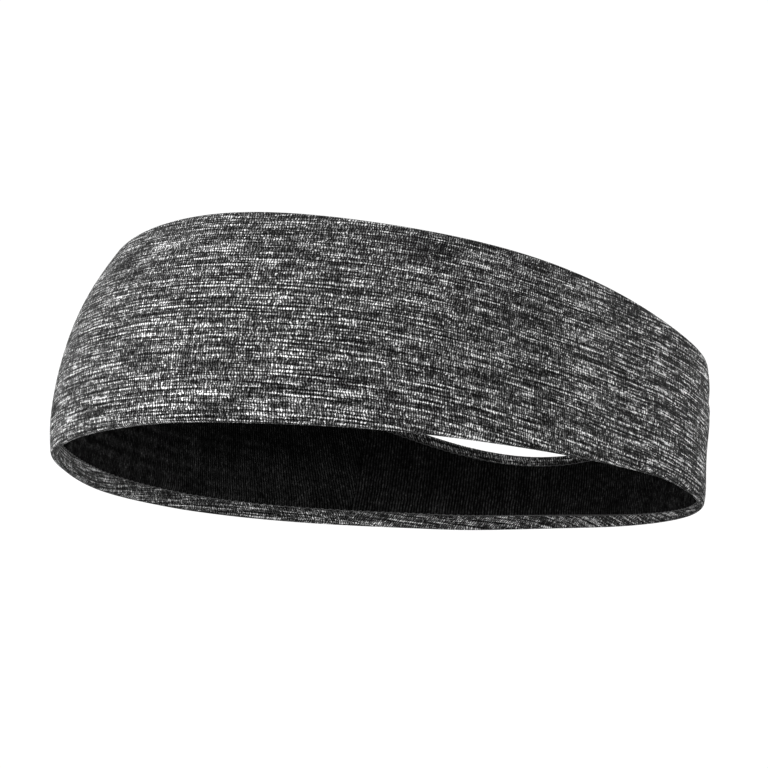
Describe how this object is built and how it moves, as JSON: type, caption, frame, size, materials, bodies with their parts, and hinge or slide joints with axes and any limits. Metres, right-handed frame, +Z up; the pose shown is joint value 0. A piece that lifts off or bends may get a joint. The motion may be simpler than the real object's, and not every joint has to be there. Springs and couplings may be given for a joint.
{
  "type": "sports headband",
  "caption": "Wide knitted sports headband: a heather-grey outer cloth, turned in along its edges and sewn to a black ribbed lining; deep at the forehead, narrow at the nape.",
  "frame": {"origin": "middle of the whole band's box, on the level plane of its bottom edge", "axes": "+Z up as worn, -Y towards the forehead, +X to the wearer's left"},
  "size_m": [0.1582, 0.206, 0.0565],
  "materials": {
    "heather_knit": "charcoal single jersey with fine light-grey heather streaks, matt",
    "lining_knit": "near-black fine rib knit, matt",
    "seam_thread": "grey spun polyester sewing thread",
    "lining_thread": "black spun polyester sewing thread"
  },
  "bodies": {
    "root": {"outer_shell": "heather_knit", "lining": "lining_knit", "bottom_seam_thread": "seam_thread", "top_seam_thread": "seam_thread", "shell_closing_thread": "seam_thread", "lining_closing_thread": "lining_thread"}
  },
  "joints": []
}
